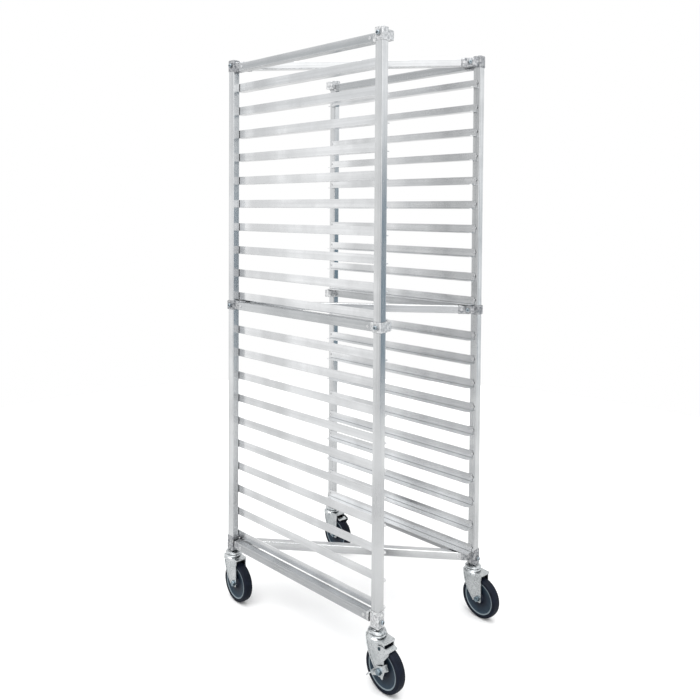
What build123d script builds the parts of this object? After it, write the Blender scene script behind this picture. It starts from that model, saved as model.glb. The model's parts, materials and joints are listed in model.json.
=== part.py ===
"""A mobile sheet pan rack: two ladder sides of angle runners, joined only by three diagonal tubes.

Seen from above, the frame is a Z: a left side, a right side and a diagonal, so that empty racks
nest into each other.  Four square posts plug into cast corner connectors at three heights.  The
bottom connectors hold swivel casters, and two of the casters have a wheel brake.

+Z is up, +X runs from the left side to the right side, and pans go in along +Y.  The origin is on
the floor, under the middle of the whole rack's box.
"""

from build123d import *
from math import atan2, cos, degrees, hypot, pi, radians, sin
import os

os.makedirs("parts", exist_ok=True)

# Frame, all in millimetres
POST_PITCH_X = 490.0  # between post centres, across the pans
POST_PITCH_Y = 616.0  # between post centres, along the pans
FRAME_Y = 32.0  # the posts' centre is this far behind the origin, because the casters trail forward
TUBE = 25.4
TUBE_WALL = 1.8
TUBE_CORNER = 3.0
RACK_HEIGHT = 1782.0

# Corner connectors
HUB = {"top": 28.8, "middle": 32.0, "bottom": 29.4}  # outside of the casting round the post
HUB_CORNER = 3.8
SLEEVE_WALL = 1.4
SLEEVE_CORNER = 3.6
SOCKET_CORNER = 2.4
NECK = 17.0  # thinner stub that leaves a slot between a bottom hub and its arms
NECK_CORNER = 2.0
NECK_END = 20.5  # from the post's centre
SPIGOT_GAP = 0.1  # all round, between a spigot and the inside of its tube
SPIGOT_LENGTH = 20.0
SPIGOT_ROOT = 6.0  # of a spigot, inside its collar
CLEAR_START = 40.0  # where the two tubes at one post have parted, from the post's centre
SLEEVE_END = 57.0
LUG_END = 35.0
LUG_CHAMFER = 1.6
CAP_ROOF = 7.0
STEM_BORE_DEPTH = 24.0
HUB_BOTTOM = 161.0
HUB_LOW = {"top": 1745.0, "middle": 965.6, "bottom": HUB_BOTTOM}
HUB_HIGH = {"top": RACK_HEIGHT, "middle": 993.8, "bottom": 207.0}
HUB_TOP_CHAMFER = {"top": 2.4, "middle": 0.8, "bottom": 0.8}
SMALL_CHAMFER = 0.8
NOTCH_GAP = 1.0  # between a bottom hub and the lowest runner that passes it

# Runners, twenty each side
LEVELS_PER_GROUP = 10
LEVEL_PITCH = 76.2
UPPER_FIRST_TOP = 1706.8  # top of the highest runner of each group
LOWER_FIRST_TOP = 909.4
RUNNER_HEIGHT = 25.4
RUNNER_LEG = 28.0
RUNNER_THICK = 2.0
RUNNER_HALF_LENGTH = 310.0
RUNNER_TIP_RADIUS = 11.0
RUNNER_BEND = 2.0
RIVET_HEIGHT = 14.5  # above a runner's underside

RAIL_Z = {"top": 1754.0, "middle": 979.7, "bottom": 183.1}
DIAGONAL_Z = {"top": 1762.0, "middle": 979.7, "bottom": 183.1}
RAIL_START = {"top": 20.0, "middle": 21.0, "bottom": 28.0}  # of a rail's tube, at a post without a diagonal

# Fasteners
BOLT_SHANK_R = 3.0
BOLT_HEAD_R = 6.0
BOLT_HEAD = 4.8
BOLT_HEAD_ROUND = 2.4
BOLT_KEY_R = 3.0
BOLT_KEY_DEPTH = 2.8
BOSS_R = 8.2  # the round pad under a bolt's head
BOSS = 2.4
HUB_BOLT_Z = {"top": 1764.0, "middle": 979.7, "bottom": 179.0}
ARM_BOLT_ALONG = 29.0  # from the post's centre
HUB_BOLT_DEPTH = {"top": 6.0, "middle": 6.0, "bottom": 7.0}  # of a shank, below the hub's face
ARM_BOLT_DEPTH = 7.0
BOLT_HOLE_SPARE = 1.0
RIVET_SHANK_R = 2.4
RIVET_HEAD_R = 4.6
RIVET_HEAD = 1.1
RIVET_HEAD_ROUND = 0.8
RAIL_RIVET_INSET = 11.0  # from a rail tube's end
SLEEVE_RIVET_ALONG = 48.0  # from the post's centre
RAIL_RIVET_DEPTH = 4.2
RIVET_HOLE_SPARE = 0.3
RUNNER_RIVET_PAST = 1.2  # of a runner rivet's shank, inside the post

# Casters
WHEEL_R = 62.5
TREAD = 30.0
CORE_R = 50.8
TRAIL = 32.0
REST_TURN = -6.0  # degrees that every caster is swivelled from straight back, at rest
LEG_INNER = 17.0
LEG_THICK = 3.2
LEG_OUTER = LEG_INNER + LEG_THICK
CROWN_TOP = 143.4
CROWN_THICK = 4.0
RACE_TOP = 147.0
CUP_BOTTOM = 149.8
CUP_TOP = 158.0
RACE_R = 18.0
BALL_R = 2.3
BALLS = 16
COLLAR_R = 13.0  # to the points of the hexagon under a hub
KINGPIN_R = 5.0
KINGPIN_HEAD_R = 9.0
KINGPIN_HEAD = 4.1
HEAD_CHAMFER = 1.2
STEM_R = 6.35
STEM_SPARE = 0.5  # above a stem, in its bore
AXLE_R = 4.75
AXLE_BOSS_R = 9.0
WASHER_R = 9.5
WASHER = 1.5
HEX_FLATS = 14.3
HEX_HEAD = 5.5
HEX_NUT = 7.0
HEX_CHAMFER = 0.7
THREAD_PAST = 1.5  # of the axle bolt, past its nut
BUSH_R = 6.35
RUNNING = 0.05  # radial clearance of a running fit

# Brakes
SHOE_PIVOT_Y = -30.0
SHOE_PIVOT_Z = 122.5
SHOE_INNER = LEG_OUTER + 0.3
SHOE_THICK = 2.0
LEVER_INNER = SHOE_INNER + SHOE_THICK + 0.3
LEVER_THICK = 2.5
LEVER_OUTER = LEVER_INNER + LEVER_THICK
LEVER_GAP = 0.2  # on both sides of the lever's boss
STRAP_ANGLE = 20.0  # of the strap's middle, back from the wheel's top
STRAP_GAP = 3.0
STRAP_LENGTH = 14.0
STRAP_THICK = 2.4
PIN_R = 3.0
PIN_HEAD_R = 4.6
PIN_HEAD = 1.8
PIN_HEAD_ROUND = 1.2
LEVER_BOSS_R = 9.6
PEDAL_REACH = 24.0
TAB_REACH = 7.0

CORNERS = {
    "left_front": (-1, -1),
    "right_front": (1, -1),
    "left_back": (-1, 1),
    "right_back": (1, 1),
}
DIAGONAL_YAW = degrees(atan2(POST_PITCH_X, POST_PITCH_Y))
DIAGONAL_LENGTH = hypot(POST_PITCH_X, POST_PITCH_Y)


def save(shape, node):
    export_step(shape, f"parts/{node}.step")


def save_group(solids, node):
    save(Compound(children=list(solids)), node)


def post_place(corner):
    side, end = CORNERS[corner]
    return Pos(side * POST_PITCH_X / 2, FRAME_Y + end * POST_PITCH_Y / 2, 0)


def rounded_bar(size, corner, length):
    """A square bar with rounded corners that runs along +Y from the origin."""
    return Rot(-90, 0, 0) * extrude(RectangleRounded(size, size, corner), length)


def square_tube(length):
    """A square tube that runs along +Y from the origin."""
    bore = rounded_bar(TUBE - 2 * TUBE_WALL, TUBE_CORNER - TUBE_WALL, length)
    return rounded_bar(TUBE, TUBE_CORNER, length) - bore


def rod(radius, start, end):
    """A round rod along +Y, from start to end."""
    return Pos(0, start, 0) * Rot(-90, 0, 0) * extrude(Circle(radius), end - start)


def bolt(shank):
    """A button-head bolt: its seat is at the origin, its head points along -Y."""
    head = Rot(90, 0, 0) * extrude(Circle(BOLT_HEAD_R), BOLT_HEAD)
    head = fillet(head.edges().group_by(Axis.Y)[0], BOLT_HEAD_ROUND)
    key = Rot(-90, 0, 0) * extrude(RegularPolygon(BOLT_KEY_R, 6), BOLT_KEY_DEPTH)
    return head + rod(BOLT_SHANK_R, 0, shank) - Pos(0, -BOLT_HEAD, 0) * key


def rivet(shank):
    """A low domed rivet: its seat is at the origin, its head points along -Y."""
    head = Rot(90, 0, 0) * extrude(Circle(RIVET_HEAD_R), RIVET_HEAD)
    head = fillet(head.edges().group_by(Axis.Y)[0], RIVET_HEAD_ROUND)
    return head + rod(RIVET_SHANK_R, 0, shank)


# Places, relative to a post's centre at floor level, of what holds a connector to its tubes.
def face_turn(side):
    """Turns something that faces -Y so that it faces out of the rack, to -X or +X."""
    return Rot(0, 0, 90 * side)


def rail_turn(end):
    """Turns something that runs along +Y so that it runs from this post to the other end."""
    return Rot(0, 0, 0 if end < 0 else 180)


def hub_bolt_place(level, corner):
    """The middle of a hub's bolt pad, on the hub's own face."""
    side, end = CORNERS[corner]
    turn = Rot(0, 0, 0 if end < 0 else 180) if level == "bottom" else face_turn(side)
    return turn * Pos(0, -HUB[level] / 2, HUB_BOLT_Z[level])


def diagonal_turn(end):
    """Turns something that runs along +Y so that it runs from this post to the one opposite."""
    return rail_turn(end) * Rot(0, 0, DIAGONAL_YAW)


def arm_bolt_place(level, corner):
    """The middle of the bolt pad on a sleeve's side that faces the rack's open end."""
    _, end = CORNERS[corner]
    half = TUBE / 2 + SLEEVE_WALL
    return diagonal_turn(end) * Pos(-half, ARM_BOLT_ALONG, DIAGONAL_Z[level]) * Rot(0, 0, -90)


def rail_start(level, corner):
    return CLEAR_START if has_diagonal(corner) else RAIL_START[level]


def rail_rivet_place(level, corner):
    """The seat of the rivet that holds a side rail, on the tube's outer face."""
    side, end = CORNERS[corner]
    along = -end * (rail_start(level, corner) + RAIL_RIVET_INSET)
    return Pos(side * TUBE / 2, along, RAIL_Z[level]) * face_turn(side)


def diagonal_rivet_place(level, corner):
    """The seat of the rivet that holds a diagonal, on its sleeve or on the bare tube."""
    _, end = CORNERS[corner]
    if level == "bottom":
        half, along = TUBE / 2, CLEAR_START + RAIL_RIVET_INSET
    else:
        half, along = TUBE / 2 + SLEEVE_WALL, SLEEVE_RIVET_ALONG
    return diagonal_turn(end) * Pos(-half, along, DIAGONAL_Z[level]) * Rot(0, 0, -90)


def has_diagonal(corner):
    side, end = CORNERS[corner]
    return side * end < 0


def runner_tops():
    """Heights of the runners' top edges, group by group."""
    firsts = {"upper": UPPER_FIRST_TOP, "lower": LOWER_FIRST_TOP}
    return {
        group: [first - LEVEL_PITCH * i for i in range(LEVELS_PER_GROUP)]
        for group, first in firsts.items()
    }


def post(corner):
    """A corner post, with holes for its runners' rivets and its connectors' bolts."""
    side, _ = CORNERS[corner]
    bottom = HUB_BOTTOM + STEM_BORE_DEPTH
    length = RACK_HEIGHT - CAP_ROOF - bottom
    tube = Pos(0, 0, bottom) * Rot(90, 0, 0) * square_tube(length)
    holes = []
    for tops in runner_tops().values():
        for top in tops:
            place = Pos(0, 0, top - RUNNER_HEIGHT + RIVET_HEIGHT) * face_turn(-side)
            holes.append(place * rod(RIVET_SHANK_R, -TUBE, 0))
    for level in ("top", "middle"):
        holes.append(hub_bolt_place(level, corner) * rod(BOLT_SHANK_R, 0, HUB[level] / 2))
    return post_place(corner) * (tube - holes)


def sleeve():
    """A connector's arm along +Y that goes over a tube's end."""
    size = TUBE + 2 * SLEEVE_WALL
    block = rounded_bar(size, SLEEVE_CORNER, SLEEVE_END)
    return chamfer(block.faces().sort_by(Axis.Y)[-1].edges(), SMALL_CHAMFER)


def sleeve_socket():
    return Pos(0, CLEAR_START, 0) * rounded_bar(TUBE, SOCKET_CORNER, SLEEVE_END)


def lug():
    """A blind arm along +Y, where no tube is fitted."""
    block = rounded_bar(TUBE + 2 * SLEEVE_WALL, SLEEVE_CORNER, LUG_END)
    return chamfer(block.faces().sort_by(Axis.Y)[-1].edges(), LUG_CHAMFER)


def spigot_arm(level, start):
    """A connector's arm along +Y: a collar as large as the tube, and a spigot inside it."""
    collar = rounded_bar(TUBE, TUBE_CORNER, start)
    if level == "bottom":
        collar -= rounded_bar(2 * TUBE, TUBE_CORNER, NECK_END)
        collar += rounded_bar(NECK, NECK_CORNER, NECK_END + 1)
    size = TUBE - 2 * TUBE_WALL - 2 * SPIGOT_GAP
    spigot = rounded_bar(size, TUBE_CORNER - TUBE_WALL, SPIGOT_ROOT + SPIGOT_LENGTH)
    return collar + Pos(0, start - SPIGOT_ROOT, 0) * spigot


def hub(level):
    """The casting round a post, in rack height."""
    size = HUB[level]
    low = HUB_LOW[level]
    block = Pos(0, 0, low) * extrude(RectangleRounded(size, size, HUB_CORNER), HUB_HIGH[level] - low)
    block = chamfer(block.faces().sort_by(Axis.Z)[-1].edges(), HUB_TOP_CHAMFER[level])
    return chamfer(block.faces().sort_by(Axis.Z)[0].edges(), SMALL_CHAMFER)


def connector(level, corner):
    """A cast corner connector, with the arms that this corner needs."""
    side, end = CORNERS[corner]
    shape = hub(level)
    rail_arm = rail_turn(end) * spigot_arm(level, rail_start(level, corner))
    shape += Pos(0, 0, RAIL_Z[level]) * rail_arm
    if has_diagonal(corner) and level == "bottom":
        shape += Pos(0, 0, DIAGONAL_Z[level]) * diagonal_turn(end) * spigot_arm(level, CLEAR_START)
    elif has_diagonal(corner):
        place = Pos(0, 0, DIAGONAL_Z[level]) * diagonal_turn(end)
        shape = shape + place * sleeve() - place * sleeve_socket()
        shape += arm_bolt_place(level, corner) * rod(BOSS_R, -BOSS, 1)
    elif level != "bottom":
        shape += Pos(0, 0, DIAGONAL_Z[level]) * Rot(0, 0, 90 * side) * lug()
    shape += hub_bolt_place(level, corner) * rod(BOSS_R, -BOSS, 1)
    post_low = HUB_BOTTOM + STEM_BORE_DEPTH if level == "bottom" else 0
    post_high = RACK_HEIGHT - CAP_ROOF
    cavity = extrude(RectangleRounded(TUBE, TUBE, SOCKET_CORNER), post_high - post_low)
    shape -= Pos(0, 0, post_low) * cavity
    hub_hole = rod(BOLT_SHANK_R, -2 * BOSS, HUB_BOLT_DEPTH[level] + BOLT_HOLE_SPARE)
    shape -= hub_bolt_place(level, corner) * hub_hole
    rivet_hole = rod(RIVET_SHANK_R, 0, RAIL_RIVET_DEPTH + RIVET_HOLE_SPARE)
    shape -= rail_rivet_place(level, corner) * rivet_hole
    if has_diagonal(corner):
        shape -= diagonal_rivet_place(level, corner) * rivet_hole
    if has_diagonal(corner) and level != "bottom":
        arm_hole = rod(BOLT_SHANK_R, -2 * BOSS, ARM_BOLT_DEPTH + BOLT_HOLE_SPARE)
        shape -= arm_bolt_place(level, corner) * arm_hole
    if level == "bottom":
        shape -= Pos(0, 0, HUB_BOTTOM) * extrude(Circle(STEM_R), STEM_BORE_DEPTH)
        shape -= runner_notch(side)
    return post_place(corner) * shape


def runner_notch(side):
    """The lowest runner's flange passes a bottom hub on the side towards the pans."""
    low = LOWER_FIRST_TOP - (LEVELS_PER_GROUP - 1) * LEVEL_PITCH - RUNNER_HEIGHT - NOTCH_GAP
    notch = Box(TUBE, 2 * TUBE, TUBE, align=(Align.MIN, Align.CENTER, Align.MIN))
    return Rot(0, 0, 0 if side < 0 else 180) * Pos(TUBE / 2, 0, low) * notch


def side_rail(level, side_name):
    front = f"{side_name}_front"
    back = f"{side_name}_back"
    start = rail_start(level, front)
    length = POST_PITCH_Y - start - rail_start(level, back)
    tube = Pos(0, start, RAIL_Z[level]) * square_tube(length)
    hole = rod(RIVET_SHANK_R, 0, RAIL_RIVET_DEPTH)
    far = Pos(0, POST_PITCH_Y, 0) * rail_rivet_place(level, back)
    return post_place(front) * (tube - rail_rivet_place(level, front) * hole - far * hole)


def diagonal(level):
    length = DIAGONAL_LENGTH - 2 * CLEAR_START
    turn = Rot(0, 0, DIAGONAL_YAW)
    tube = turn * Pos(0, CLEAR_START, DIAGONAL_Z[level]) * square_tube(length)
    hole = rod(RIVET_SHANK_R, 0, RAIL_RIVET_DEPTH)
    far = Pos(-POST_PITCH_X, POST_PITCH_Y, 0) * diagonal_rivet_place(level, "left_back")
    near = diagonal_rivet_place(level, "right_front")
    return post_place("right_front") * (tube - near * hole - far * hole)


def connector_bolts():
    seat = Pos(0, -BOSS, 0)
    for corner in CORNERS:
        place = post_place(corner)
        for level in RAIL_Z:
            yield place * hub_bolt_place(level, corner) * seat * bolt(BOSS + HUB_BOLT_DEPTH[level])
            if has_diagonal(corner) and level != "bottom":
                yield place * arm_bolt_place(level, corner) * seat * bolt(BOSS + ARM_BOLT_DEPTH)


def rail_rivets():
    for corner in CORNERS:
        place = post_place(corner)
        for level in RAIL_Z:
            yield place * rail_rivet_place(level, corner) * rivet(RAIL_RIVET_DEPTH)
            if has_diagonal(corner):
                yield place * diagonal_rivet_place(level, corner) * rivet(RAIL_RIVET_DEPTH)


def runner(side, top):
    """An angle that carries the edge of every pan at its level: flange up, leg inward."""
    flange = Box(RUNNER_THICK, 2 * RUNNER_HALF_LENGTH, RUNNER_HEIGHT)
    flange = Pos(RUNNER_THICK / 2, 0, RUNNER_HEIGHT / 2) * flange
    leg = Box(RUNNER_LEG, 2 * RUNNER_HALF_LENGTH, RUNNER_THICK)
    leg = Pos(RUNNER_LEG / 2, 0, RUNNER_THICK / 2) * leg
    leg = fillet(leg.edges().filter_by(Axis.Z).group_by(Axis.X)[-1], RUNNER_TIP_RADIUS)
    angle = flange + leg
    along = angle.edges().filter_by(Axis.Y)
    outside = along.group_by(Axis.X)[0].group_by(Axis.Z)[0]
    angle = fillet(outside, RUNNER_BEND)
    if side > 0:
        angle = Rot(0, 0, 180) * angle
    inner_face = side * (POST_PITCH_X / 2 - TUBE / 2)
    angle = Pos(inner_face, 0, top - RUNNER_HEIGHT) * angle
    for end in (-1, 1):
        angle -= runner_rivet_place(side, end, top) * rod(RIVET_SHANK_R, 0, RUNNER_THICK)
    return Pos(0, FRAME_Y, 0) * angle


def runner_rivet_place(side, end, top):
    """The seat of a runner's rivet, with its head towards the pans."""
    face = side * (POST_PITCH_X / 2 - TUBE / 2 - RUNNER_THICK)
    height = top - RUNNER_HEIGHT + RIVET_HEIGHT
    return Pos(face, end * POST_PITCH_Y / 2, height) * face_turn(-side)


def runner_rivets():
    for tops in runner_tops().values():
        for top in tops:
            for side, end in CORNERS.values():
                place = Pos(0, FRAME_Y, 0) * runner_rivet_place(side, end, top)
                yield place * rivet(RUNNER_THICK + TUBE_WALL + RUNNER_RIVET_PAST)


# A caster is made round its own swivel axis, trailing along -Y, with the outside of the rack at -X.
def caster_place(corner):
    return post_place(corner) * Rot(0, 0, REST_TURN)


def outward(corner, shape):
    """Puts a caster's -X side on the outside of the rack, and the caster under its post."""
    side, _ = CORNERS[corner]
    if side > 0:
        shape = mirror(shape, Plane.YZ)
    return caster_place(corner) * shape


def turned(points):
    """A ring turned round the Z axis from an outline of radii and heights."""
    outline = make_face(Polyline([(r, 0, z) for r, z in points], close=True))
    return revolve(outline, Axis.Z, 360)


def ball_places():
    height = (RACE_TOP + CUP_BOTTOM) / 2
    return [
        Pos(RACE_R * cos(2 * pi * i / BALLS), RACE_R * sin(2 * pi * i / BALLS), height)
        for i in range(BALLS)
    ]


def race_groove():
    height = (RACE_TOP + CUP_BOTTOM) / 2
    return Pos(0, 0, height) * Torus(RACE_R, BALL_R + RUNNING)


def stem():
    """The fixed upper half of a caster: threaded stem, bearing cup and kingpin."""
    cup = turned(
        [
            (0, CUP_BOTTOM),
            (25.0, CUP_BOTTOM),
            (25.6, CUP_BOTTOM + 1.4),
            (24.2, CUP_BOTTOM + 4.4),
            (19.0, CUP_BOTTOM + 6.6),
            (15.5, CUP_TOP - 1.0),
            (14.0, CUP_TOP),
            (0, CUP_TOP),
        ]
    )
    collar = Pos(0, 0, CUP_TOP) * extrude(RegularPolygon(COLLAR_R, 6), HUB_BOTTOM - CUP_TOP)
    crown_bottom = CROWN_TOP - CROWN_THICK
    pin_low = crown_bottom - RUNNING - KINGPIN_HEAD
    pin = Pos(0, 0, pin_low) * extrude(Circle(KINGPIN_R), CUP_TOP - pin_low)
    head = Pos(0, 0, pin_low) * extrude(Circle(KINGPIN_HEAD_R), KINGPIN_HEAD)
    head = chamfer(head.faces().sort_by(Axis.Z)[0].edges(), HEAD_CHAMFER)
    shaft = Pos(0, 0, HUB_BOTTOM) * extrude(Circle(STEM_R), STEM_BORE_DEPTH - STEM_SPARE)
    return cup + collar + pin + head + shaft - race_groove()


def leg_outline():
    """A fork leg's side view: straight trailing edge, leading edge swept up to the crown."""
    back = -TRAIL - 13.5
    low = WHEEL_R - 9.2
    top = CROWN_TOP - 1.0
    edges = [
        Line((23.4, top), (back, top)),
        Line((back, top), (back, low)),
        Line((back, low), (-15.0, low)),
        Line((-15.0, low), (5.0, 78.0)),
        ThreePointArc((5.0, 78.0), (18.0, 105.5), (23.4, top)),
    ]
    face = make_face(Wire(edges))
    low_corners = face.vertices().group_by(Axis.Y)[0]
    return fillet(low_corners, 5.0)


def upright(face, thick):
    """Stands a flat outline of (y, z) up at x = 0 and gives it thickness towards +X."""
    return Plane.YZ.location * extrude(face, thick)


def fork():
    """The turning lower half of a caster: a pressed crown with two legs."""
    dome = turned(
        [
            (0, CROWN_TOP - CROWN_THICK),
            (21.0, CROWN_TOP - CROWN_THICK),
            (28.2, CROWN_TOP - 9.4),
            (31.0, CROWN_TOP - 9.4),
            (29.8, CROWN_TOP - 3.4),
            (25.6, CROWN_TOP),
            (23.4, RACE_TOP),
            (0, RACE_TOP),
        ]
    )
    plate = Pos(0, -25.0, CROWN_TOP - CROWN_THICK / 2) * Box(2 * LEG_OUTER, 50.0, CROWN_THICK)
    plate = fillet(plate.edges().filter_by(Axis.Z).group_by(Axis.Y)[0], 4.0)
    outline = leg_outline()
    leg = upright(outline, LEG_THICK)
    pocket = Pos(LEG_THICK - 0.9, 0, 0) * upright(offset(outline, -4.2), 1.0)
    axle_boss = Pos(0, -TRAIL, WHEEL_R) * Rot(0, 90, 0) * extrude(Circle(AXLE_BOSS_R), LEG_THICK)
    leg = leg - pocket + axle_boss
    right = Pos(LEG_INNER, 0, 0) * leg
    left = mirror(right, Plane.YZ)
    shape = dome + plate + right + left
    shape -= extrude(Circle(KINGPIN_R + RUNNING), 200)
    shape -= race_groove()
    bore = Pos(0, -TRAIL, WHEEL_R) * Rot(0, 90, 0) * Cylinder(AXLE_R, 80)
    return shape - bore


def across(radius, start, end):
    """A round bar along X on the axle's line."""
    bar = Rot(0, 90, 0) * extrude(Circle(radius), end - start)
    return Pos(start, -TRAIL, WHEEL_R) * bar


def hexagon(flats, start, end):
    head = Rot(0, 90, 0) * extrude(RegularPolygon(flats / 2, 6, major_radius=False), end - start)
    return Pos(start, -TRAIL, WHEEL_R) * head


def axle_parts(braked):
    """The axle bolt with its nut, washer and the spanner bush that the wheel turns on."""
    washer_in = LEVER_OUTER + LEVER_GAP if braked else LEG_OUTER
    head_in = washer_in + WASHER
    shank = across(AXLE_R, -head_in, LEG_OUTER + HEX_NUT + THREAD_PAST)
    head = hexagon(HEX_FLATS, -head_in - HEX_HEAD, -head_in)
    head = chamfer(head.faces().sort_by(Axis.X)[0].edges(), HEX_CHAMFER)
    hole = across(AXLE_R, -2 * head_in, 2 * head_in)
    washer = across(WASHER_R, -head_in, -washer_in) - hole
    nut = hexagon(HEX_FLATS, LEG_OUTER, LEG_OUTER + HEX_NUT) - hole
    bush = across(BUSH_R, -LEG_INNER, LEG_INNER) - hole
    return [head + shank, washer, nut, bush]


def turned_wheel(points):
    """A ring on the axle's line from an outline of radii and distances along the axle."""
    outline = make_face(Polyline([(r, 0, x) for r, x in points], close=True))
    ring = revolve(outline, Axis.Z, 360)
    return Pos(0, -TRAIL, WHEEL_R) * Rot(0, 90, 0) * ring


def mirrored_profile(half):
    """Completes a wheel outline that is given from its middle plane outwards."""
    return half + [(r, -x) for r, x in reversed(half)]


def wheel_core():
    half = [
        (CORE_R, 12.6),
        (CORE_R - 0.8, 13.4),
        (CORE_R - 2.6, 13.4),
        (CORE_R - 3.6, 12.2),
        (CORE_R - 6.5, 9.6),
        (CORE_R - 11.0, 8.4),
        (24.0, 8.0),
        (18.0, 9.4),
        (15.6, 14.0),
        (14.4, 16.6),
        (BUSH_R + RUNNING, 16.6),
    ]
    return turned_wheel(mirrored_profile(half))


def tyre():
    """The solid tyre: a slightly crowned tread with round shoulders."""
    half_width = TREAD / 2
    low = (CORE_R, half_width - 1.6)
    shoulder = (WHEEL_R - 6.0, half_width)
    edge = (WHEEL_R - 1.2, half_width - 4.0)
    middle = (WHEEL_R, 0)
    bulge = (WHEEL_R - 2.4, half_width - 0.9)

    def at(point, sign=1):
        return (point[0], 0, sign * point[1])

    edges = [
        Line(at(low, -1), at(low)),
        Line(at(low), at(shoulder)),
        ThreePointArc(at(shoulder), at(bulge), at(edge)),
        ThreePointArc(at(edge), at(middle), at(edge, -1)),
        ThreePointArc(at(edge, -1), at(bulge, -1), at(shoulder, -1)),
        Line(at(shoulder, -1), at(low, -1)),
    ]
    ring = revolve(make_face(Wire(edges)), Axis.Z, 360)
    return Pos(0, -TRAIL, WHEEL_R) * Rot(0, 90, 0) * ring


def plate_outline(points, corner):
    """A flat plate's outline with every corner rounded."""
    face = make_face(Polyline(points, close=True))
    return fillet(face.vertices(), corner)


def strap_middle():
    """Centre of the brake strap's inner face, as (y, z)."""
    radius = WHEEL_R + STRAP_GAP
    angle = radians(STRAP_ANGLE)
    return -TRAIL - radius * sin(angle), WHEEL_R + radius * cos(angle)


def brake_shoe():
    """The braked side's pivoting plate, and the strap it holds across the tread."""
    arm_points = [
        (-23.0, 117.0),
        (-23.0, 128.6),
        (-37.0, 132.4),
        (-50.0, 132.0),
        (-65.0, 127.0),
        (-64.0, 119.0),
        (-47.0, 97.0),
        (-38.5, 95.0),
        (-35.0, 108.0),
    ]
    side_plate = upright(plate_outline(arm_points, 2.0), SHOE_THICK)
    side_plate = Pos(-SHOE_INNER - SHOE_THICK, 0, 0) * side_plate
    strap_width = SHOE_INNER + SHOE_THICK + LEG_INNER - 1.0
    strap = Box(strap_width, STRAP_LENGTH, STRAP_THICK, align=(Align.MIN, Align.CENTER, Align.MIN))
    strap = fillet(strap.edges().filter_by(Axis.Z).group_by(Axis.X)[-1], 3.0)
    y, z = strap_middle()
    strap = Pos(-SHOE_INNER - SHOE_THICK, y, z) * Rot(STRAP_ANGLE, 0, 0) * strap
    pivot = Pos(0, SHOE_PIVOT_Y, SHOE_PIVOT_Z) * Rot(0, 90, 0) * Cylinder(PIN_R + RUNNING, 80)
    return side_plate + strap - pivot


def brake_pin():
    """The rivet that the shoe turns on, headed on both sides of the fork's leg."""
    place = Pos(-LEG_INNER, SHOE_PIVOT_Y, SHOE_PIVOT_Z) * Rot(0, -90, 0)
    seat = SHOE_INNER + SHOE_THICK + RUNNING - LEG_INNER
    shank = extrude(Circle(PIN_R), seat)
    far_head = Pos(0, 0, seat) * extrude(Circle(PIN_HEAD_R), PIN_HEAD)
    far_head = fillet(far_head.faces().sort_by(Axis.Z)[-1].edges(), PIN_HEAD_ROUND)
    return place * (shank + far_head)


def brake_lever():
    """The foot lever: it turns on the axle bolt, and its pedal sticks out of the wheel's side."""
    points = [
        (-36.0, 19.0),
        (-27.0, 34.0),
        (-12.0, 20.0),
        (9.0, 11.0),
        (20.0, -1.0),
        (31.0, -12.0),
        (26.0, -22.0),
        (8.0, -13.0),
        (-6.0, -12.5),
        (-13.5, -17.0),
        (-16.0, -7.0),
        (-21.0, 8.0),
    ]
    plate = upright(plate_outline([(y - TRAIL, z + WHEEL_R) for y, z in points], 2.2), LEVER_THICK)
    plate = Pos(-LEVER_OUTER, 0, 0) * plate
    boss = across(LEVER_BOSS_R, -LEVER_OUTER, -LEG_OUTER - LEVER_GAP)
    pedal = Box(PEDAL_REACH, 19.0, 2.6, align=(Align.MAX, Align.CENTER, Align.MAX))
    pedal = fillet(pedal.edges().filter_by(Axis.Z).group_by(Axis.X)[0], 5.0)
    ribs = [
        Pos(-4.0 - 3.6 * i, 0, 0) * Box(1.6, 14.0, 0.8, align=(Align.CENTER, Align.CENTER, Align.MIN))
        for i in range(5)
    ]
    pedal = pedal + ribs
    pedal = Pos(-LEVER_OUTER + 0.4, 20.5 - TRAIL, WHEEL_R - 5.5) * Rot(-42, 0, 0) * pedal
    tab = Box(TAB_REACH, 14.0, 2.4, align=(Align.MAX, Align.CENTER, Align.MAX))
    tab = fillet(tab.edges().filter_by(Axis.Z).group_by(Axis.X)[0], 3.0)
    tab = Pos(-LEVER_OUTER + 0.4, -30.0 - TRAIL, WHEEL_R + 25.8) * Rot(59, 0, 0) * tab
    shape = plate + boss + pedal + tab
    return shape - across(AXLE_R + RUNNING, -60, 60)


def fork_with_pin():
    """A braked caster's fork, with the hole for the shoe's rivet."""
    hole = Pos(-LEG_OUTER, SHOE_PIVOT_Y, SHOE_PIVOT_Z) * Rot(0, 90, 0) * Cylinder(PIN_R, 12)
    return fork() - hole


BRAKED = ("left_front", "right_back")

for corner in CORNERS:
    save(post(corner), f"post_{corner}")
    for level in RAIL_Z:
        save(connector(level, corner), f"connector_{level}_{corner}")
for level in RAIL_Z:
    for side_name in ("left", "right"):
        save(side_rail(level, side_name), f"side_rail_{level}_{side_name}")
    save(diagonal(level), f"diagonal_{level}")
for group, tops in runner_tops().items():
    for side_name, side in (("left", -1), ("right", 1)):
        save_group([runner(side, top) for top in tops], f"runners_{group}_{side_name}")
save_group(connector_bolts(), "connector_bolts")
save_group(rail_rivets(), "rail_rivets")
save_group(runner_rivets(), "runner_rivets")

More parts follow.
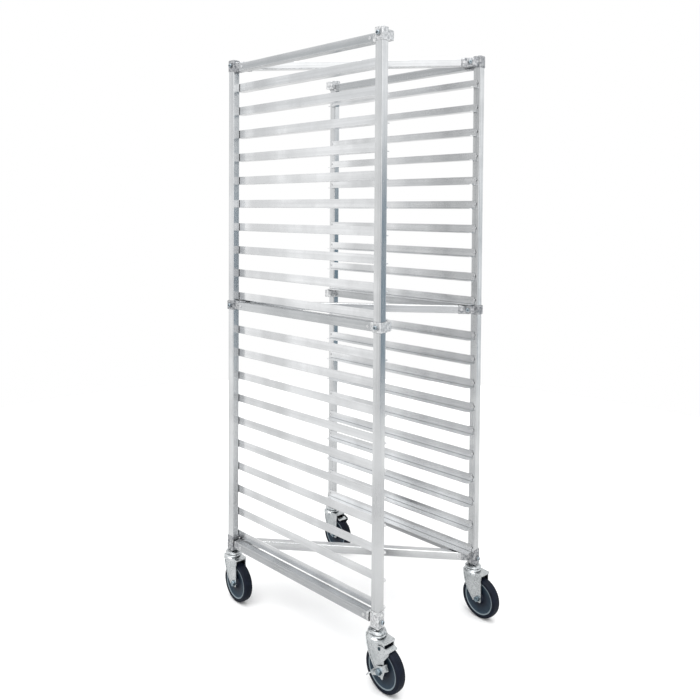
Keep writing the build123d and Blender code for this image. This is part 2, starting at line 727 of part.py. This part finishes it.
STEM = stem()
FORK = fork()
CORE = wheel_core()
TYRE = tyre()
for corner in CORNERS:
    braked = corner in BRAKED
    save(outward(corner, STEM), f"caster_stem_{corner}")
    save(outward(corner, fork_with_pin() if braked else FORK), f"caster_fork_{corner}")
    save_group([outward(corner, piece) for piece in axle_parts(braked)], f"caster_axle_{corner}")
    save(outward(corner, CORE), f"wheel_core_{corner}")
    save(outward(corner, TYRE), f"wheel_tyre_{corner}")
    if braked:
        save(outward(corner, brake_shoe()), f"brake_shoe_{corner}")
        save(outward(corner, brake_pin()), f"brake_pin_{corner}")
        save(outward(corner, brake_lever()), f"brake_lever_{corner}")
balls = [
    caster_place(corner) * place * Sphere(BALL_R) for corner in CORNERS for place in ball_places()
]
save_group(balls, "swivel_balls")
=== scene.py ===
"""The looks of the sheet pan rack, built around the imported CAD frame. Everything is in metres."""

import json
import math

import bmesh
import bpy
from mathutils import Matrix, Vector


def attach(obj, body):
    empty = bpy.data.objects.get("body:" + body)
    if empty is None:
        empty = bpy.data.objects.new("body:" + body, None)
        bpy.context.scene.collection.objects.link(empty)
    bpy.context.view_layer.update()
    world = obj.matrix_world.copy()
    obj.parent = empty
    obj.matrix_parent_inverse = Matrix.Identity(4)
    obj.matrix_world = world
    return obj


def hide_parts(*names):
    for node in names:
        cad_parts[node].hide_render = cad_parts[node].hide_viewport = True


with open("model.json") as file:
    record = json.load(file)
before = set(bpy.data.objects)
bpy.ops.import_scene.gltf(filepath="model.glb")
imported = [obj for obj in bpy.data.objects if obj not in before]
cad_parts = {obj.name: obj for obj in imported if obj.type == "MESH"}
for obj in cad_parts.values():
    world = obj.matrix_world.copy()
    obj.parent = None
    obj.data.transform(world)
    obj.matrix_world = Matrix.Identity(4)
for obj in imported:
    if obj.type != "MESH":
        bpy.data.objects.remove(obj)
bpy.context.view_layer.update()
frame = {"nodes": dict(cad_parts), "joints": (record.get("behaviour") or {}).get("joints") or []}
NODES = frame["nodes"]

CORNERS = ("left_front", "right_front", "left_back", "right_back")
SLEEVED = ("right_front", "left_back")  # the corners that the diagonals join
JOINTS = {joint["name"]: joint for joint in frame["joints"]}

# Camera, in the rack's frame
IMAGE_SIDE = 700
CAMERA_PLACE = Vector((-1.7047, -1.4436, 1.2930))
CAMERA_YAW = math.radians(45.299)  # from +Y towards +X
CAMERA_PITCH = math.radians(1.656)  # downwards
CAMERA_ROLL = math.radians(0.289)
FOCAL_PIXELS = 694.0
CENTRE_U, CENTRE_V = 306.9, 230.4
SENSOR = 36.0


# ---- node helpers -------------------------------------------------------------------------------
def new_material(name, base, metallic, roughness):
    """A material, its node tree and its shader, with values that are the same all over."""
    material = bpy.data.materials.new(name)
    material.use_nodes = True
    shader = material.node_tree.nodes["Principled BSDF"]
    shader.inputs["Base Color"].default_value = (*base, 1)
    shader.inputs["Metallic"].default_value = metallic
    shader.inputs["Roughness"].default_value = roughness
    return material, material.node_tree, shader


def add(tree, kind, **settings):
    """A new node of a kind, with its settings."""
    node = tree.nodes.new(kind)
    for key, value in settings.items():
        setattr(node, key, value)
    return node


def object_coordinates(tree, scale, turn=0.0):
    """Object coordinates, turned about Z and then stretched."""
    coordinates = add(tree, "ShaderNodeTexCoord")
    spin = add(tree, "ShaderNodeMapping")
    spin.inputs["Rotation"].default_value = (0, 0, turn)
    stretch = add(tree, "ShaderNodeMapping")
    stretch.inputs["Scale"].default_value = scale
    tree.links.new(coordinates.outputs["Object"], spin.inputs["Vector"])
    tree.links.new(spin.outputs["Vector"], stretch.inputs["Vector"])
    return stretch.outputs["Vector"]


def noise(tree, vector, scale, detail=3.0, rough=0.5):
    """Cloudy noise, as an output that mostly lies between 0.3 and 0.7."""
    node = add(tree, "ShaderNodeTexNoise")
    node.inputs["Scale"].default_value = scale
    node.inputs["Detail"].default_value = detail
    node.inputs["Roughness"].default_value = rough
    tree.links.new(vector, node.inputs["Vector"])
    return node.outputs["Fac"]


def remap(tree, value, low, high, from_low=0.3, from_high=0.7):
    """Turns a value between from_low and from_high into one between low and high."""
    node = add(tree, "ShaderNodeMapRange")
    node.inputs["From Min"].default_value = from_low
    node.inputs["From Max"].default_value = from_high
    node.inputs["To Min"].default_value = low
    node.inputs["To Max"].default_value = high
    tree.links.new(value, node.inputs["Value"])
    return node.outputs["Result"]


def blend_colours(tree, factor, first, second):
    """Goes from the first colour to the second as the factor goes from 0 to 1."""
    node = add(tree, "ShaderNodeMix", data_type="RGBA")
    tree.links.new(factor, node.inputs["Factor"])
    for key, colour in (("A", first), ("B", second)):
        socket = [s for s in node.inputs if s.name == key and s.type == "RGBA"][0]
        if isinstance(colour, tuple):
            socket.default_value = (*colour, 1)
        else:
            tree.links.new(colour, socket)
    return [s for s in node.outputs if s.type == "RGBA"][0]


def bump(tree, shader, height, strength, distance):
    """Tilts the shader's normal as if the surface had this height."""
    node = add(tree, "ShaderNodeBump")
    node.inputs["Strength"].default_value = strength
    node.inputs["Distance"].default_value = distance
    tree.links.new(height, node.inputs["Height"])
    tree.links.new(node.outputs["Normal"], shader.inputs["Normal"])


# Painted shade: a near-black colour mixed into surface colours where ambient occlusion finds light
# blocked.
PAINTED_SHADE = (0.045, 0.055, 0.065)
SHADE_MOST = 0.92  # how far the deepest gaps go towards the painted shade's colour
SHADE_FULL, SHADE_NONE = 0.18, 0.80  # how open a place is where the painted shade is thickest, and where there is none
THIN_SHADE, DEEP_SHADE = 0.004, 0.010  # how far the painted shade reaches out of a gap, in metres


def with_painted_shade(tree, tone, reach):
    """Paints shade into a tone: darkens it in narrow gaps, holes and inside corners, where ambient
    occlusion finds light blocked.
    """
    hidden = add(tree, "ShaderNodeAmbientOcclusion", samples=6)
    hidden.inputs["Distance"].default_value = reach
    amount = remap(tree, hidden.outputs["AO"], SHADE_MOST, 0.0, SHADE_FULL, SHADE_NONE)
    return blend_colours(tree, amount, tone, PAINTED_SHADE)


# ---- materials ----------------------------------------------------------------------------------
# Stretches of the noise along each axis
EVEN = (1, 1, 1)
DRAW_UP = (1, 1, 0.01)
DRAW_ALONG = (1, 0.01, 1)
STAIN_STRETCH = (1, 7, 0.6)

# painted light: the near-white colour given to the runners' upward faces
PAINTED_TOP_LIGHT = (0.94, 0.945, 0.95)
PIT = (0.20, 0.21, 0.23)
WORN_SHARE, DULL_SHARE = 0.82, 0.6  # of the darker tone, in handling marks and in speckles on zinc


def extruded_aluminium(name, stretch, turn, dark, light, gloss, stained_and_top_lit=False):
    """Satin mill aluminium: fine draw lines along the section, soft cloudy handling marks.

    Where pans slide on it, it is a little stained along its length, and its upward faces get painted
    light: a lighter colour that stands in for light from above.
    """
    material, tree, shader = new_material(name, dark, 1.0, gloss)
    lines = noise(tree, object_coordinates(tree, stretch, turn), scale=700.0, detail=4.0, rough=0.6)
    streaks = noise(tree, object_coordinates(tree, stretch, turn), scale=90.0)
    clouds = noise(tree, object_coordinates(tree, EVEN), scale=7.0, detail=4.0, rough=0.6)
    tone = blend_colours(tree, remap(tree, streaks, 0, 1), dark, light)
    worn = tuple(WORN_SHARE * channel for channel in dark)
    handled = remap(tree, clouds, 0.0, 0.6, from_low=0.42, from_high=0.72)
    tone = blend_colours(tree, handled, tone, worn)
    if stained_and_top_lit:
        stains = noise(tree, object_coordinates(tree, STAIN_STRETCH), scale=1.0, detail=2.0)
        stained = remap(tree, stains, 0.0, 0.8, from_low=0.48, from_high=0.66)
        tone = blend_colours(tree, stained, tone, worn)
        # painted light: faces that look upwards are coloured lighter, standing in for light from above
        normal = add(tree, "ShaderNodeSeparateXYZ")
        tree.links.new(add(tree, "ShaderNodeNewGeometry").outputs["Normal"], normal.inputs[0])
        top_light_amount = remap(tree, normal.outputs["Z"], 0, 1, from_low=0.4, from_high=0.8)
        tone = blend_colours(tree, top_light_amount, tone, PAINTED_TOP_LIGHT)
    # painted shade in gaps and inside corners
    tree.links.new(with_painted_shade(tree, tone, THIN_SHADE), shader.inputs["Base Color"])
    roughness = add(tree, "ShaderNodeMath", operation="ADD")
    tree.links.new(remap(tree, lines, 0.0, 0.08), roughness.inputs[0])
    tree.links.new(remap(tree, clouds, gloss - 0.04, gloss + 0.08), roughness.inputs[1])
    tree.links.new(roughness.outputs[0], shader.inputs["Roughness"])
    bump(tree, shader, lines, strength=0.06, distance=0.0002)
    return material


def cast_aluminium(name, dark, light):
    """Tumbled die casting: fine pits and a grainy surface."""
    material, tree, shader = new_material(name, light, 1.0, 0.42)
    vector = object_coordinates(tree, EVEN)
    grain = noise(tree, vector, scale=420.0, detail=5.0, rough=0.7)
    mottle = noise(tree, vector, scale=150.0, detail=4.0, rough=0.7)
    tone = blend_colours(tree, remap(tree, mottle, 0, 1, from_low=0.36, from_high=0.62), dark, light)
    pits = remap(tree, grain, 1, 0, from_low=0.32, from_high=0.46)
    tone = blend_colours(tree, pits, tone, PIT)
    # painted shade in gaps and inside corners
    tree.links.new(with_painted_shade(tree, tone, DEEP_SHADE), shader.inputs["Base Color"])
    tree.links.new(remap(tree, mottle, 0.56, 0.40), shader.inputs["Roughness"])
    bump(tree, shader, grain, strength=0.5, distance=0.0010)
    return material


def bright_zinc(name, first, second, low, high):
    """Bright zinc plate on pressed steel: bluish, with faint cloudy passivation and dull speckles."""
    material, tree, shader = new_material(name, first, 1.0, low)
    vector = object_coordinates(tree, EVEN)
    clouds = noise(tree, vector, scale=38.0, detail=4.0, rough=0.6)
    fine = noise(tree, vector, scale=600.0, rough=0.6)
    tone = blend_colours(tree, remap(tree, clouds, 0, 1), first, second)
    speckle = noise(tree, vector, scale=240.0, rough=0.6)
    dull = tuple(DULL_SHARE * channel for channel in first)
    speckled = remap(tree, speckle, 0.0, 0.7, from_low=0.52, from_high=0.68)
    tone = blend_colours(tree, speckled, tone, dull)
    # painted shade in gaps and inside corners
    tree.links.new(with_painted_shade(tree, tone, DEEP_SHADE), shader.inputs["Base Color"])
    tree.links.new(remap(tree, clouds, low, high), shader.inputs["Roughness"])
    bump(tree, shader, fine, strength=0.12, distance=0.0003)
    return material


CORE_RADIUS = 0.0508
HUB_SHADE_FULL, HUB_SHADE_END = 0.021, 0.046  # radii between which the painted shade on the core fades from full navy near the hub to none
RING_START, RING_FULL = 0.0040, 0.0034  # where the pale ring begins, inwards from the core's edge
# the first colour is painted shade: the navy that the dished core is darkened to around its hub
HUB_SHADE, RING_PALE = (0.004, 0.008, 0.018), (0.24, 0.29, 0.32)


def axle_radius(tree, corner):
    """Distance of a point from a wheel's axle, in metres, as a node output."""
    joint = JOINTS[f"spin_{corner}"]
    coordinates = add(tree, "ShaderNodeTexCoord")
    offset = add(tree, "ShaderNodeVectorMath", operation="SUBTRACT")
    offset.inputs[1].default_value = joint["pos_m"]
    tree.links.new(coordinates.outputs["Object"], offset.inputs[0])
    across = add(tree, "ShaderNodeVectorMath", operation="CROSS_PRODUCT")
    across.inputs[1].default_value = joint["axis"]
    tree.links.new(offset.outputs["Vector"], across.inputs[0])
    length = add(tree, "ShaderNodeVectorMath", operation="LENGTH")
    tree.links.new(across.outputs["Vector"], length.inputs[0])
    return length.outputs["Value"]


def core_plastic(corner):
    """Slate-blue moulded core, with a pale band at its rim, and painted shade that darkens it to navy
    towards the hub.
    """
    material, tree, shader = new_material(f"core_plastic_{corner}", (0.05, 0.08, 0.10), 0.0, 0.42)
    shader.inputs["Specular IOR Level"].default_value = 0.25
    radius = axle_radius(tree, corner)
    mottle = noise(tree, object_coordinates(tree, EVEN), scale=120.0)
    tone = blend_colours(tree, remap(tree, mottle, 0, 1), (0.018, 0.036, 0.056), (0.034, 0.058, 0.084))
    # painted shade: darker towards the hub, where the dish lies in shade
    hub = remap(tree, radius, 1, 0, HUB_SHADE_FULL, HUB_SHADE_END)
    tone = blend_colours(tree, hub, tone, HUB_SHADE)
    ring = remap(tree, radius, 0, 1, CORE_RADIUS - RING_START, CORE_RADIUS - RING_FULL)
    tone = blend_colours(tree, ring, tone, RING_PALE)
    tree.links.new(tone, shader.inputs["Base Color"])
    tree.links.new(remap(tree, mottle, 0.36, 0.5), shader.inputs["Roughness"])
    bump(tree, shader, mottle, strength=0.15, distance=0.0004)
    return material


def tyre_rubber():
    """Solid rubber: near black with a blue cast, dull, with fine moulding grain."""
    material, tree, shader = new_material("tyre_rubber", (0.008, 0.009, 0.014), 0.0, 0.5)
    shader.inputs["Specular IOR Level"].default_value = 0.15
    vector = object_coordinates(tree, EVEN)
    dust = noise(tree, vector, scale=60.0, detail=4.0, rough=0.6)
    grain = noise(tree, vector, scale=900.0, rough=0.6)
    tone = blend_colours(tree, remap(tree, dust, 0, 1), (0.002, 0.004, 0.010), (0.007, 0.011, 0.022))
    tree.links.new(tone, shader.inputs["Base Color"])
    tree.links.new(remap(tree, dust, 0.42, 0.60), shader.inputs["Roughness"])
    bump(tree, shader, grain, strength=0.2, distance=0.0003)
    return material


def pale_floor():
    """White to the camera, and dimmer to the metal that mirrors it, as a floor lit from one side is."""
    material, tree, shader = new_material("pale_floor", FLOOR_LOW, 0.0, 0.6)
    clouds = noise(tree, object_coordinates(tree, EVEN), scale=2.0)
    tone = blend_colours(tree, remap(tree, clouds, 0, 1), FLOOR_LOW, FLOOR_HIGH)
    light_path = add(tree, "ShaderNodeLightPath")
    tone = blend_colours(tree, light_path.outputs["Is Camera Ray"], FLOOR_MIRRORED, tone)
    tree.links.new(tone, shader.inputs["Base Color"])
    return material


FLOOR_LOW, FLOOR_HIGH = (0.96, 0.96, 0.96), (0.98, 0.98, 0.98)
FLOOR_MIRRORED = (0.59, 0.59, 0.59)
POST_SPACING_ACROSS, POST_SPACING_ALONG = 0.490, 0.616
DIAGONAL_TURN = -math.atan2(POST_SPACING_ACROSS, POST_SPACING_ALONG)

POST_DARK, POST_LIGHT = (0.60, 0.61, 0.62), (0.74, 0.75, 0.755)
RAIL_DARK, RAIL_LIGHT = (0.46, 0.475, 0.485), (0.58, 0.59, 0.60)
RUNNER_DARK, RUNNER_LIGHT = (0.68, 0.69, 0.70), (0.82, 0.83, 0.84)
TUBE_GLOSS, RUNNER_GLOSS = 0.17, 0.14  # roughness

tube_up = extruded_aluminium("tube_aluminium_up", DRAW_UP, 0.0, POST_DARK, POST_LIGHT, TUBE_GLOSS)
tube_along = extruded_aluminium("tube_aluminium_along", DRAW_ALONG, 0.0, RAIL_DARK, RAIL_LIGHT, TUBE_GLOSS)
tube_diagonal = extruded_aluminium(
    "tube_aluminium_diagonal", DRAW_ALONG, DIAGONAL_TURN, POST_DARK, POST_LIGHT, TUBE_GLOSS
)
# the runners are stained along their length and get painted light on their upward faces
runner_metal = extruded_aluminium(
    "runner_aluminium", DRAW_ALONG, 0.0, RUNNER_DARK, RUNNER_LIGHT, RUNNER_GLOSS, stained_and_top_lit=True
)
bright_casting = cast_aluminium("bright_casting", (0.46, 0.47, 0.48), (0.96, 0.963, 0.965))
# painted shade: a darker copy of the same casting, for the connectors that the diagonals join
shaded_casting = cast_aluminium("shaded_casting", (0.19, 0.20, 0.22), (0.63, 0.635, 0.64))
zinc = bright_zinc("bright_zinc", (0.52, 0.55, 0.56), (0.74, 0.76, 0.77), 0.20, 0.34)
steel = bright_zinc("fastener_zinc", (0.30, 0.36, 0.40), (0.50, 0.55, 0.58), 0.16, 0.30)
axle_steel = bright_zinc("axle_steel", (0.14, 0.20, 0.24), (0.38, 0.44, 0.48), 0.16, 0.30)
# painted shade: the brake pin is coloured near black, standing in for the shade in its rivet hole
pin_shade_steel = bright_zinc("pin_shade_steel", (0.03, 0.05, 0.06), (0.08, 0.11, 0.13), 0.20, 0.35)
rivet_metal = bright_zinc("rivet_aluminium", (0.60, 0.61, 0.62), (0.74, 0.74, 0.75), 0.30, 0.42)
rubber = tyre_rubber()
cores = {corner: core_plastic(corner) for corner in CORNERS}


def node_material(name):
    """The material of a CAD node, by the start of its name. The first start that fits counts."""
    starts = {
        "post_": tube_up,
        "side_rail": tube_along,
        "diagonal": tube_diagonal,
        "runners": runner_metal,
        "connector_bolts": steel,
        # the connectors at the corners the diagonals join get the darker copy of the casting: painted
        # shade
        "connector_": shaded_casting if name.endswith(SLEEVED) else bright_casting,
        "rail_rivets": rivet_metal,
        "runner_rivets": rivet_metal,
        "swivel_balls": steel,
        "caster_axle": axle_steel,
        "brake_pin": pin_shade_steel,
        "caster_": zinc,
        "brake_": zinc,
        "wheel_tyre": rubber,
    }
    if name.startswith("wheel_core_"):
        return cores[name.removeprefix("wheel_core_")]
    for start, material in starts.items():
        if name.startswith(start):
            return material
    raise ValueError(name)


for name, piece in NODES.items():
    if not piece.material_slots:
        piece.data.materials.append(None)
    for slot in piece.material_slots:
        slot.material = node_material(name)


# ---- tyres --------------------------------------------------------------------------------------
TYRE_SIDES = 144
TREAD_HALF = 0.015
# The side wall, from the core outwards: how far past the core, and how far in from the tyre's side
WALL = ((0.0, 0.0016), (0.0014, 0.0007), (0.0030, 0.0002))
SHOULDER_STEPS = 8
GROOVES = (-0.0066, -0.0022, 0.0022, 0.0066)  # places across the tread
GROOVE_HALF, GROOVE_DEPTH = 0.0007, 0.0012
# Points across a groove: place in half widths from its middle, and whether it is at the bottom
GROOVE_SHAPE = ((-2, 0), (-1, 0), (-0.5, 1), (0.5, 1), (1, 0), (2, 0))
CROWN = 0.0010  # fall of the tread from its middle to its edges
SHOULDER = 0.0050


def tread_profile(radius):
    """The tyre's section, from one side wall over the tread to the other, as (radius, place along
    the axle) pairs.
    """
    flat = TREAD_HALF - SHOULDER
    side = [(CORE_RADIUS + past, -TREAD_HALF + inwards) for past, inwards in WALL]
    for step in range(SHOULDER_STEPS + 1):
        turn = math.pi / 2 * step / SHOULDER_STEPS
        low = radius - CROWN - SHOULDER * (1 - math.sin(turn))
        side.append((low, -flat - SHOULDER * math.cos(turn)))
    tread = []
    for place in GROOVES:
        for offset, depth in GROOVE_SHAPE:
            along = place + offset * GROOVE_HALF
            tread.append((radius - CROWN * (along / flat) ** 2 - depth * GROOVE_DEPTH, along))
    return side + tread + [(low, -along) for low, along in reversed(side)]


def make_tyre(corner):
    """A solid rubber tyre, turned round its axle, with shallow grooves in the tread."""
    joint = JOINTS[f"spin_{corner}"]
    centre = Vector(joint["pos_m"])
    axle = Vector(joint["axis"]).normalized()
    outward = Vector((0, 0, 1))
    across = axle.cross(outward)
    profile = tread_profile(centre.z)
    count = len(profile)
    points = []
    for side in range(TYRE_SIDES):
        turn = 2 * math.pi * side / TYRE_SIDES
        radial = outward * math.cos(turn) + across * math.sin(turn)
        points += [centre + radial * radius + axle * along for radius, along in profile]
    faces = []
    for side in range(TYRE_SIDES):
        here, there = side * count, (side + 1) % TYRE_SIDES * count
        for i in range(count):
            after = (i + 1) % count
            faces.append((here + i, here + after, there + after, there + i))
    mesh = bpy.data.meshes.new(f"tyre_{corner}")
    mesh.from_pydata(points, [], faces)
    mesh.materials.append(rubber)
    shape = bmesh.new()
    shape.from_mesh(mesh)
    bmesh.ops.recalc_face_normals(shape, faces=shape.faces)
    shape.to_mesh(mesh)
    shape.free()
    mesh.shade_smooth()
    piece = bpy.data.objects.new(f"tyre_{corner}", mesh)
    bpy.context.scene.collection.objects.link(piece)
    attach(piece, f"wheel_{corner}")
    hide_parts(f"wheel_tyre_{corner}")


for corner in CORNERS:
    make_tyre(corner)


# ---- camera, lights, floor ----------------------------------------------------------------------
def make_camera():
    """A camera whose picture is shifted, so that the rack isn't in the middle of the lens."""
    forward = Vector(
        (
            math.sin(CAMERA_YAW) * math.cos(CAMERA_PITCH),
            math.cos(CAMERA_YAW) * math.cos(CAMERA_PITCH),
            -math.sin(CAMERA_PITCH),
        )
    )
    level = Vector((math.cos(CAMERA_YAW), -math.sin(CAMERA_YAW), 0))
    over = level.cross(forward)
    right = level * math.cos(CAMERA_ROLL) + over * math.sin(CAMERA_ROLL)
    up = over * math.cos(CAMERA_ROLL) - level * math.sin(CAMERA_ROLL)
    data = bpy.data.cameras.new("camera")
    data.sensor_width = SENSOR
    data.lens = FOCAL_PIXELS * SENSOR / IMAGE_SIDE
    data.shift_x = (IMAGE_SIDE / 2 - CENTRE_U) / IMAGE_SIDE
    data.shift_y = (CENTRE_V - IMAGE_SIDE / 2) / IMAGE_SIDE
    data.clip_start = 0.05
    camera = bpy.data.objects.new("camera", data)
    axes = Matrix((right, up, -forward)).transposed().to_4x4()
    camera.matrix_world = Matrix.Translation(CAMERA_PLACE) @ axes
    bpy.context.scene.collection.objects.link(camera)
    bpy.context.scene.camera = camera


def make_floor():
    """A round pale floor. Past its edge the studio is as white as the floor to the camera."""
    reach = 3.1
    sides = 96
    mesh = bpy.data.meshes.new("floor")
    angles = [2 * math.pi * i / sides for i in range(sides)]
    rim = [(reach * math.cos(angle), reach * math.sin(angle), 0) for angle in angles]
    mesh.from_pydata(rim, [], [tuple(range(sides))])
    mesh.materials.append(pale_floor())
    floor = bpy.data.objects.new("floor", mesh)
    bpy.context.scene.collection.objects.link(floor)


def multiply(tree, first, second):
    """The product of two outputs."""
    node = add(tree, "ShaderNodeMath", operation="MULTIPLY")
    tree.links.new(first, node.inputs[0])
    tree.links.new(second, node.inputs[1])
    return node.outputs[0]


def panel(tree, level, height, start, end, low, high, soft_turn=4.0, soft_height=0.05):
    """Where a panel of the studio wall is: 1 between two compass angles and two heights, else 0."""
    middle = math.radians((start + end) / 2)
    half = math.radians((end - start) / 2)
    soft = math.radians(soft_turn)
    along = add(tree, "ShaderNodeVectorMath", operation="DOT_PRODUCT")
    along.inputs[1].default_value = (math.cos(middle), math.sin(middle), 0)
    tree.links.new(level, along.inputs[0])
    outer, inner = math.cos(min(half + soft, math.pi)), math.cos(max(half - soft, 0))
    mask = remap(tree, along.outputs["Value"], 0, 1, outer, inner)
    mask = multiply(tree, mask, remap(tree, height, 0, 1, low - soft_height, low + soft_height))
    return multiply(tree, mask, remap(tree, height, 1, 0, high - soft_height, high + soft_height))


def make_world():
    """A studio with a bright ceiling and wall panels for the metal to reflect."""
    world = bpy.data.worlds.new("studio")
    world.use_nodes = True
    tree = world.node_tree
    walls = tree.nodes["Background"]
    walls.inputs["Strength"].default_value = 1.0
    coordinates = add(tree, "ShaderNodeTexCoord")
    split = add(tree, "ShaderNodeSeparateXYZ")
    tree.links.new(coordinates.outputs["Generated"], split.inputs[0])
    height = split.outputs["Z"]
    flat = add(tree, "ShaderNodeVectorMath", operation="MULTIPLY")
    flat.inputs[1].default_value = (1, 1, 0)
    tree.links.new(coordinates.outputs["Generated"], flat.inputs[0])
    level = add(tree, "ShaderNodeVectorMath", operation="NORMALIZE")
    tree.links.new(flat.outputs["Vector"], level.inputs[0])
    level = level.outputs["Vector"]
    tone = blend_colours(tree, remap(tree, height, 0, 1), STUDIO_WALL, CEILING)
    for colour, *place in WALL_PANELS:
        tone = blend_colours(tree, panel(tree, level, height, *place), tone, colour)
    tree.links.new(tone, walls.inputs["Color"])
    backdrop = add(tree, "ShaderNodeBackground")
    backdrop.inputs["Color"].default_value = (1, 1, 1, 1)
    light_path = add(tree, "ShaderNodeLightPath")
    mix = add(tree, "ShaderNodeMixShader")
    tree.links.new(light_path.outputs["Is Camera Ray"], mix.inputs[0])
    tree.links.new(walls.outputs[0], mix.inputs[1])
    tree.links.new(backdrop.outputs[0], mix.inputs[2])
    tree.links.new(mix.outputs[0], tree.nodes["World Output"].inputs["Surface"])
    bpy.context.scene.world = world
    bpy.context.scene.view_settings.view_transform = "Standard"


def sun_light(name, direction, strength, spread):
    """A light from far away, as soft as its spread in degrees."""
    data = bpy.data.lights.new(name, "SUN")
    data.energy = strength
    data.angle = math.radians(spread)
    light = bpy.data.objects.new(name, data)
    light.rotation_euler = Vector(direction).to_track_quat("-Z", "Y").to_euler()
    bpy.context.scene.collection.objects.link(light)


STUDIO_WALL = (0.52, 0.54, 0.56)
CEILING = (1.05, 1.05, 1.05)
# Colour, compass angles from +X towards +Y in degrees, lowest and highest height on a unit sphere, and
# where the edges are sharper than usual, their softness in degrees and in height. A later panel hides
# an earlier one.
WALL_PANELS = (
    ((0.90, 0.90, 0.90), -5, 100, -1.0, 0.6),
    ((1.14, 1.14, 1.14), 100, 147, -1.0, 0.16),
    ((0.88, 0.89, 0.90), 100, 147, 0.16, 0.3),
    ((1.20, 1.21, 1.22), 100, 156, 0.27, 0.6),
    ((0.68, 0.68, 0.68), 145, 158, -0.4, 0.25),
    ((1.42, 1.42, 1.42), 192, 266, -1.0, 0.8),
    ((0.78, 0.79, 0.81), 192, 266, -0.32, -0.02),
    ((1.28, 1.28, 1.28), 325, 355, -1.0, 0.12),
    ((1.15, 1.16, 1.17), 290, 337, 0.08, 0.5),
    ((0.12, 0.21, 0.28), 296, 327, -0.26, 0.06, 1.5, 0.03),
)

make_camera()
make_world()
make_floor()
sun_light("ceiling", direction=(0.25, 0.15, -1.0), strength=1.9, spread=60.0)
